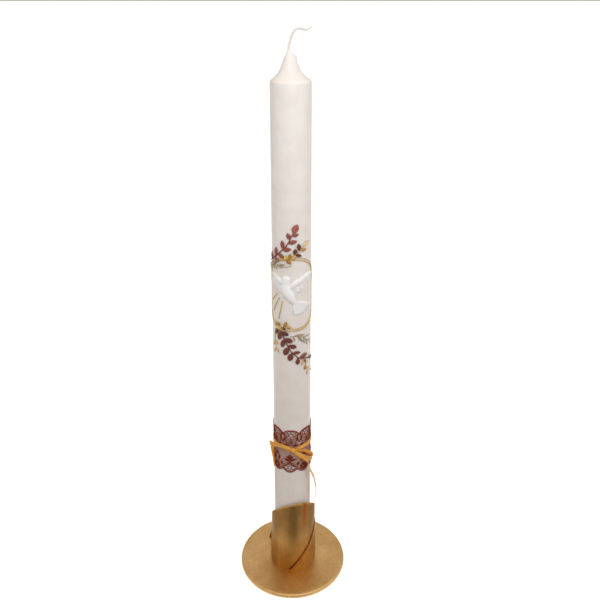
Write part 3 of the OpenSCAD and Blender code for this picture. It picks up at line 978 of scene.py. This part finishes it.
sprig("burgundy_sprig_top", "burgundy_wax",
      [(-71, 280.3), (-40, 286.9), (-26, 290.7), (-16, 293.4), (-9, 296.4), (-3, 299.4), (2, 302.4),
       (5, 304.1)],
      [(0.02, 45, 6.5, 2.8, 0.6), (0.24, 45, 7, 2.9, 0.65), (0.53, 50, 6.8, 3, 0.65),
       (0.83, 45, 5.4, 2.9, 0.65), (1, 0, 7.4, 4.5, 0.85), (0.94, -55, 4.8, 2.7, 0.7),
       (0.73, -45, 6.6, 3, 0.7), (0.51, -35, 6.4, 3.1, 0.65), (0.34, -60, 5.4, 2.9, 0.7),
       (0.19, -78, 4.8, 2.9, 0.65)],
      OVER_RING, 1.1, 0.6)
sprig("gold_sprig_top", "gold_wax",
      [(-21, 283.2), (-3, 285), (8, 287.2), (20, 289.7), (33, 292.8)],
      [(1, -5, 6.6, 2.5, 0.8), (0.79, 55, 5.7, 2.7, 0), (0.52, 42, 4.8, 2.8, 0), (0.55, -55, 4.9, 2.1, 0),
       (0.84, -45, 4.9, 2.2, 0.35), (0.22, 45, 4.2, 2.1, 0.3), (0.02, 35, 4.6, 2.6, 0.75),
       (0.29, -35, 3.6, 2.3, 0.55), (0.1, -58, 5, 2.4, 0.25), (0.02, 150, 4.2, 2, 0.5)],
      OVER_LEAVES, 0.8, 0.5)
sprig("taupe_sprig_top", "taupe_wax",
      [(1, 279.2), (-15, 277.7), (-31, 278.4), (-46, 279), (-84, 276)],
      [(0.44, -150, 5.2, 1.4, 0.5), (0.52, 145, 5.3, 1, 0.5), (0.66, 128, 4.9, 1, 0.4),
       (0.76, 122, 4.9, 1, 0.5), (0.85, 116, 4.4, 1, 0.4), (0.94, 110, 4.1, 1, 0.5),
       (0.56, -135, 5, 1.1, 0.6), (0.7, -150, 5, 1.1, 0.5), (0.84, -145, 4.4, 1.1, 0.5),
       (0.7, 8, 6, 1.5, 0.5), (0.6, -8, 6, 1.5, 0.5)],
      OVER_LEAVES, 0.5, 0.5)
sprig("gold_sprig_centre", "gold_wax",
      [(-51, 228), (-36, 227.6), (-26, 228.3), (-16, 229.2)],
      [(0.32, 90, 4.1, 2.4, 0.3), (0.79, 40, 5, 2.3, 0.35), (1, -30, 4, 2, 0.55), (0.73, -65, 2.8, 1.7, 0),
       (0.04, 115, 4.4, 2, 0.6), (0.06, -10, 4.6, 3.4, 0.6), (0.3, -30, 3.6, 2.6, 0.6)],
      OVER_LEAVES, 0.5, 0.6)
sprig("burgundy_sprig_lower", "burgundy_wax",
      [(-42, 227.1), (-29, 222.9), (-21, 218.6), (-13, 214.1), (-7, 210.7), (0, 207.3), (11, 204.5),
       (20, 202.1), (38, 200.6), (62, 199)],
      [(0, -60, 6.6, 2.9, 0.15), (0.09, -50, 7.4, 3.5, 0.35), (0.25, -42, 7.4, 3.4, 0.35),
       (0.42, -47, 7.8, 4, 0.35), (0.56, -57, 6.9, 4, 0.35), (0.72, -62, 5.6, 3.2, 0.35),
       (0.1, 35, 6.2, 3.1, 0.2), (0.24, 45, 6.6, 3.7, 0.35), (0.39, 53, 6.6, 3.3, 0.35),
       (0.56, 48, 6.2, 2.4, 0.45), (0.74, 42, 7.2, 3, 0.6), (0.97, 0, 4.2, 3.2, 0.6)],
      OVER_RING, 1.15, 0.35, 0.45)
sprig("gold_sprig_left", "gold_wax",
      [(-59, 216.6), (-57, 212.4), (-53, 208.3)],
      [(0.2, 50, 5.3, 1.9, 0.6), (0.02, 170, 4.4, 1.4, 0.8), (0.82, 25, 5.9, 2.2, 0.7),
       (0.5, -55, 4.5, 1.9, 0.55), (1, -45, 5.5, 1.9, 0.6)],
      0.05, 0.5, 0.6)
sprig("gold_sprig_right", "gold_wax",
      [(31, 199.9), (42, 196.6), (48, 192), (54, 188.9), (84, 185)],
      [(0.09, -60, 4.3, 2.2, 0.75), (0.36, -35, 3.6, 2.6, 0.3), (0.61, -70, 4.3, 2, 0.75),
       (0.25, 150, 2.8, 1.7, 0), (0.07, 45, 2.4, 1.7, 0.35), (0.3, 100, 3.2, 1.7, 0.85),
       (0.48, 65, 5, 1.7, 0.8), (0.97, 0, 3, 2, 0.75)],
      0.05, 0.5, 0.6)
sprig("taupe_sprig_lower", "taupe_wax",
      [(-4, 220.4), (8, 220.7), (27, 219.5), (44, 216.9), (73, 210.1)],
      [(0.1, 2, 7.2, 1.8, 0.5), (0.41, 22, 8, 1, 0.5), (0.49, -50, 4.9, 1, 0.5), (0.24, -35, 7.1, 1.8, 0.4),
       (0.1, -75, 4.5, 1.2, 0.5), (0.58, -30, 6, 1.1, 0.5), (0.7, 25, 4, 1, 0.5), (0.3, 30, 5, 1.1, 0.5)],
      0.05, 0.5, 0.5)


# Lace -------------------------------------------------------------------------------------------

LACE_TOPS = 7
LACE_TOP_ANGLE = -3
LACE_POINTS = 8
LACE_POINT_ANGLE = -7


def lobe(angle, count, middle):
    """How far an angle is from the middle of its scallop, from 0 to 1."""
    pitch = 360 / count
    x = (angle - middle + pitch / 2) % pitch / pitch - 0.5
    return abs(2 * x)


def lace_top(angle):
    """Height of the upper edge."""
    return LACE_W - 0.5 - 3.4 * lobe(angle, LACE_TOPS, LACE_TOP_ANGLE) ** 3


def lace_bottom(angle):
    return 0.5 + 3.2 * lobe(angle, LACE_POINTS, LACE_POINT_ANGLE) ** 1.9


def lace_holes():
    """Open round holes of the lace: angle, height and radius."""
    holes = []
    spacing = 2.9
    rows = (((-0.5, 0.5), 2.1, 1.15), ((-1, 0, 1), 4.6, 1.25))
    for count, every, first, edge, way in (
        (LACE_TOPS, 1, LACE_TOP_ANGLE, LACE_W - 0.3, -1), (LACE_POINTS, 2, LACE_POINT_ANGLE, 0.3, 1),
    ):
        for k in range(0, count, every):
            middle = first + 360 * k / count
            for offsets, depth, radius in rows:
                holes += [(middle + arc_to_angle(spacing * x), edge + way * depth, radius) for x in offsets]
    return holes


def lace_thread(build, path, width, out, shade, sides=5, closed=False):
    """Thread on the candle along angle and height pairs."""
    line = [on_candle(a, LACE_Z + h, out) for a, h in path]
    build.tube(line, width / 2, sides, (0.0, 0.0, shade), closed)


def lace_circle(build, angle, height, radius, width, shade, out):
    path = []
    for k in range(14):
        a = 2 * math.pi * k / 14
        path.append((angle + arc_to_angle(radius * math.cos(a)), height + radius * math.sin(a)))
    lace_thread(build, path, width, out, shade, 6, True)


def lace_net(build, holes):
    """Fine diagonal net between the scalloped edges, left open at the holes."""
    pitch, step, width = 0.95, 0.75, 0.25
    round_candle = 2 * math.pi * CANDLE_R
    count = round(round_candle * math.sqrt(0.5) / pitch)
    rows = int(LACE_W / (step * math.sqrt(0.5))) + 2
    by_angle = {}
    for a, h, r in holes:
        by_angle.setdefault(round(a / 10) % 36, []).append((a, h, r))

    def inside(angle, h):
        if not lace_bottom(angle) + 0.1 < h < lace_top(angle) - 0.1:
            return False
        for shift in (-1, 0, 1):
            for a, hole_h, r in by_angle.get((round(angle / 10) + shift) % 36, ()):
                across = math.radians((angle - a + 180) % 360 - 180) * CANDLE_R
                if across ** 2 + (h - hole_h) ** 2 < (r - 0.1) ** 2:
                    return False
        return True

    for way in (1, -1):
        for k in range(count):
            start = round_candle * k / count
            run = []
            for i in range(rows + 1):
                h = i * step * math.sqrt(0.5)
                angle = arc_to_angle(start + way * h)
                if i < rows and inside(angle, h):
                    run.append((angle, h))
                    continue
                if len(run) > 1:
                    lace_thread(build, run, width, LACE_OUT - 0.08, 0.5)
                run = []


def petal(build, angle, height, turn, length, width, shade, stripe=False):
    """Raised petal: a dark one is filled with stitches, a light one is open and may have a stripe."""
    c, s = math.cos(math.radians(turn)), math.sin(math.radians(turn))
    out = LACE_OUT + 0.16
    for side in (-1, -0.5, 0, 0.5, 1) if shade < 0.5 else (-1, 1):
        path = []
        for k in range(9):
            u = k / 8
            x, y = u * length, side * width / 2 * math.sin(math.pi * u) ** 0.85
            path.append((angle + arc_to_angle(x * c - y * s), height + x * s + y * c))
        lace_thread(build, path, 0.3, out, min(0.14, shade))
    if stripe:
        places = (0.1 * length, 0.5 * length, 0.9 * length)
        path = [(angle + arc_to_angle(x * c), height + x * s) for x in places]
        lace_thread(build, path, 0.26, out + 0.08, 0.2)


def petal_pair(build, angle, across, height, lean, length, width, shade, stripe=False):
    """Petals on both sides of an angle, leaning that far away from upright."""
    for side in (-1, 1):
        place = angle + side * arc_to_angle(across)
        petal(build, place, height, 90 - side * lean, length, width, shade, stripe)


def flower(build, angle, height, petals, size, shade, first=90):
    for k in range(petals):
        petal(build, angle, height, first + 360 * k / petals, size, size * 0.62, shade)
    lace_circle(build, angle, height, 0.45, 0.5, 0.0, LACE_OUT + 0.25)


def curl(build, angle, height, points, width, shade, side=1):
    """Thread through points given as arc and height from a place, to the right or left of it."""
    path = smooth_line([(side * x, y, 0) for x, y in points], 5)
    line = [(angle + arc_to_angle(p.x), height + p.y) for p in path]
    lace_thread(build, line, width, LACE_OUT + 0.12, shade)


def curl_pair(build, angle, height, points, width, shade):
    for side in (-1, 1):
        curl(build, angle, height, points, width, shade, side)


def top_motif(build, angle):
    """Two striped petals in a V over a dark oval, between dark buds."""
    base = LACE_W - 14.2
    petal_pair(build, angle, 0.7, base + 1.2, 36, 8.2, 3.0, 0.9, stripe=True)
    petal_pair(build, angle, 1.6, base - 0.6, 78, 4.6, 1.7, 0.05)
    petal_pair(build, angle, 4.2, base + 7.6, 152, 5.4, 1, 0.08)
    petal_pair(build, angle, 5, base + 8.2, 20, 2.4, 1.1, 0.1)
    curl_pair(build, angle, base, [(0, 0.4), (2.4, 0.3), (4, 2), (4.6, 5), (5.2, 8)], 0.4, 0.16)
    curl_pair(build, angle, base, [(1.2, 10), (2.9, 8.4), (3.8, 10.3)], 0.4, 0.12)
    petal(build, angle - arc_to_angle(2.6), base - 3, 0, 5.2, 3.0, 0.12)
    petal(build, angle, base + 1.6, 90, 5.6, 1.5, 0.85, stripe=True)


def flower_motif(build, angle):
    """Dark flower over spreading leaves and a stem with striped leaves."""
    flower(build, angle, 14.6, 5, 2.9, 0.12)
    petal_pair(build, angle, 0, 11.2, 66, 5.2, 1.5, 0.04)
    petal_pair(build, angle, 0.6, 9.8, 128, 6.2, 2.7, 0.85, stripe=True)
    petal_pair(build, angle, 6, 7.2, 30, 3.4, 2.2, 0.15)
    curl_pair(build, angle, 6, [(0.3, 5), (1.6, 2.4), (4.2, 0.4), (6.6, -0.6)], 0.5, 0.1)
    curl(build, angle, 6, [(0, 8), (0.1, 5), (0, 1.5)], 0.55, 0.05)


def ring_motif(build, angle):
    """Ring of small petals in the scallop, with a curved spray over it."""
    centre, ring_r = 4.9, 1.1
    for k in range(7):
        turn = 360 * k / 7
        place = angle + arc_to_angle(ring_r * math.cos(math.radians(turn)))
        petal(build, place, centre + ring_r * math.sin(math.radians(turn)), turn, 2.1, 1.3, 0.35)
    lace_circle(build, angle, centre, 1.0, 0.4, 0.05, LACE_OUT + 0.2)
    lace_circle(build, angle, centre, 3.3, 0.42, 0.12, LACE_OUT + 0.1)
    curl_pair(build, angle, 8, [(0.6, 1), (2.4, 3), (3, 5.6), (1.6, 7.6)], 0.5, 0.1)
    petal_pair(build, angle, 1.4, 11, 24, 3.6, 1.6, 0.08)
    flower(build, angle, 16.4, 4, 1.9, 0.15, 45)


def lace_edge(build):
    """Thick cord along both scalloped edges, with a thinner one inside it."""
    angles = [0.9 * k for k in range(400)]
    for edge, inwards in ((lace_top, -1.1), (lace_bottom, 1.1)):
        outer = [(a, edge(a)) for a in angles]
        lace_thread(build, outer, 0.68, LACE_OUT + 0.06, 0.16, 6, True)
        lace_thread(build, [(a, h + inwards) for a, h in outer], 0.4, LACE_OUT, 0.3, 5, True)


def lace_band():
    build = Build()
    holes = lace_holes()
    lace_net(build, holes)
    lace_edge(build)
    for angle, height, radius in holes:
        lace_circle(build, angle, height, radius + 0.1, 0.36, 0.12, LACE_OUT + 0.08)
    for k in range(LACE_TOPS):
        top_motif(build, LACE_TOP_ANGLE + 360 * k / LACE_TOPS)
    for k in range(LACE_POINTS):
        motif = ring_motif if k % 2 else flower_motif
        motif(build, LACE_POINT_ANGLE + 360 * k / LACE_POINTS)
    cloth = build.piece("lace_band", "cloth", "lace", 180)


lace_band()


# Ribbon and bow ---------------------------------------------------------------------------------


def ribbon_band():
    """The ribbon round the candle, lower and slightly narrower where it goes under the knot."""
    build = Build()
    steps = 180
    knot_angle = 3
    out = 0.75
    rings = []
    marks = []
    for i in range(steps):
        a = 360 * i / steps
        away = abs((a + 180 - knot_angle) % 360 - 180)
        width = RIBBON_W * (0.62 + 0.38 * ease(4, 40, away))
        z = BAND_Z - 1.5 * (1 - ease(2, 40, away))
        outline = ribbon_section(width, RIBBON_T)
        rings.append([on_candle(a, z + x, out + y) for x, y in outline])
        marks.extend((x, (CANDLE_R + out) * math.radians(a), 0.5) for x, _ in outline)
    build.rings(rings, marks, closed=True)
    build.piece("ribbon_band", "satin", "ribbon", 60)


def bow_loop(name, points):
    """Loop of the bow: the ribbon stands on edge, leans a little outwards and is gathered at the knot."""
    knot = (knot_low + knot_high) / 2
    lean = 0.1
    line = smooth_line([knot] + [lift(p) for p in points] + [knot], 10)
    widths = []
    for i, p in enumerate(line):
        t = heading(line, i)
        w = Vector((0, 0, 1)) + Vector((p.x, p.y, 0)).normalized() * lean
        widths.append((w - w.dot(t) * t).normalized())
    build = Build()
    full = lambda f: (0.5 + 0.5 * ease(0.0, 0.2, f)) * (1 - 0.6 * ease(0.58, 0.86, f))
    build.strip(line, widths, lambda f: ribbon_section(RIBBON_W * full(f), RIBBON_T))
    build.piece(name, "satin", "ribbon", 60)


def bow_knot():
    """Pulled knot: a short ribbon turn with folds, slanting down to the right."""
    build = Build()
    centre = (knot_low + knot_high) / 2
    slant = Matrix.Rotation(math.radians(38), 3, "Y")
    steps, sides = 26, 28
    long, deep, high = 5.4, 1.35, 1.75
    rings = []
    marks = []
    for i in range(steps + 1):
        u = i / steps
        x = long * (u - 0.5)
        full = math.sqrt(max(0.0, 1 - abs(2 * u - 1) ** 3.2))
        ring = []
        for k in range(sides):
            a = 2 * math.pi * k / sides
            fold = 1 + 0.07 * math.cos(5 * a + 2.2 * u) + 0.05 * math.sin(9 * a - 3 * u)
            radius = max(0.05, full * fold)
            p = Vector((x, deep * radius * math.cos(a), high * radius * math.sin(a)))
            ring.append(centre + slant @ p)
            marks.append((high * math.sin(a), x, 0.5))
        rings.append(ring)
    build.rings(rings, marks)
    build.piece("bow_knot", "satin", "ribbon", 80)


ribbon_band()
bow_loop("bow_loop_left", LOOP_LEFT)
bow_loop("bow_loop_right", LOOP_RIGHT)
bow_knot()


# Studio -----------------------------------------------------------------------------------------


def card(name, look, rectangles, z):
    """Level rectangles at one height, each given by its left, right, near and far sides in metres."""
    mesh = bpy.data.meshes.new(name)
    points = []
    for left, right, near, far in rectangles:
        points += [(left, near, z), (right, near, z), (right, far, z), (left, far, z)]
    faces = [tuple(range(k, k + 4)) for k in range(0, len(points), 4)]
    mesh.from_pydata(points, [], faces)
    mesh.materials.append(look.material)
    made = add_object(name, mesh)
    made.visible_diffuse = False
    return made


def floor():
    """Pale floor that glows a little, so that it looks plain and bright without strong lamps."""
    look = Look("floor_pale", Roughness=0.9, Specular_IOR_Level=0.1, Emission_Strength=0.52)
    look.shader.inputs["Base Color"].default_value = (0.9, 0.9, 0.9, 1)
    look.shader.inputs["Emission Color"].default_value = (0.95, 0.98, 1, 1)
    reach = 300.0
    card("floor", look, [(-reach, reach, -reach, reach)], 0)


def area_light(name, place, aim, width, height, power, colour):
    data = bpy.data.lights.new(name, "AREA")
    data.shape = "RECTANGLE"
    data.size = width
    data.size_y = height
    data.energy = power
    data.color = colour
    lamp = add_object(name, data)
    lamp.location = place
    lamp.rotation_euler = (Vector(aim) - Vector(place)).to_track_quat("-Z", "Y").to_euler()


def sky():
    """Even light from above that fades below the horizon."""
    world = bpy.data.worlds.new("studio")
    world.use_nodes = True
    nodes, links = world.node_tree.nodes, world.node_tree.links
    direction = nodes.new("ShaderNodeTexCoord")
    split = nodes.new("ShaderNodeSeparateXYZ")
    strength = nodes.new("ShaderNodeMapRange")
    strength.inputs["From Min"].default_value = -0.6
    strength.inputs["From Max"].default_value = 0.7
    strength.inputs["To Min"].default_value = 0.26
    strength.inputs["To Max"].default_value = 0.79
    links.new(direction.outputs["Generated"], split.inputs[0])
    links.new(split.outputs["Z"], strength.inputs["Value"])
    links.new(strength.outputs["Result"], nodes["Background"].inputs["Strength"])
    nodes["Background"].inputs["Color"].default_value = (1, 0.925, 0.865, 1)
    bpy.context.scene.world = world


def dark_card():
    """Low cards round the plate, darkest in front, seen only in the sleeve's reflection."""
    inner, wide, front, back = 0.052, 0.32, -0.3, 0.12
    look = Look("card_dark", Roughness=0.9, Specular_IOR_Level=0.1)
    split = look.node("SeparateXYZ")
    look.link(look.place(), split.inputs[0])
    side = look.node("Math", operation="ABSOLUTE")
    look.link(split.outputs["X"], side.inputs[0])
    tone = [(0.02, (0.1, 0.09, 0.08, 1)), (0.12, (0.68, 0.67, 0.66, 1)), (0.32, (0.84, 0.83, 0.82, 1))]
    look.colour(look.ramp(side.outputs[0], tone))
    cards = card("dark_card", look, [
        (-inner, inner, front, -inner), (-wide, -inner, front, back), (inner, wide, front, back),
    ], MM)
    cards.visible_camera = False
    cards.visible_shadow = False


def studio():
    """Lamps and cards, their places in metres."""
    sky()
    middle = (0, 0, 0.25)
    warm = (1, 0.97, 0.94)
    area_light("light_top", (0.04, -0.3, 0.52), (0, 0, 0.42), 0.24, 0.24, 0.62, (0.9, 0.96, 1))
    area_light("light_left", (-0.9, -0.45, 0.55), middle, 0.5, 0.9, 0.8, warm)
    area_light("light_right", (0.95, -0.35, 0.6), middle, 0.5, 0.9, 1.4, warm)
    floor()
    dark_card()


studio()
bpy.context.scene.view_settings.view_transform = "Standard"
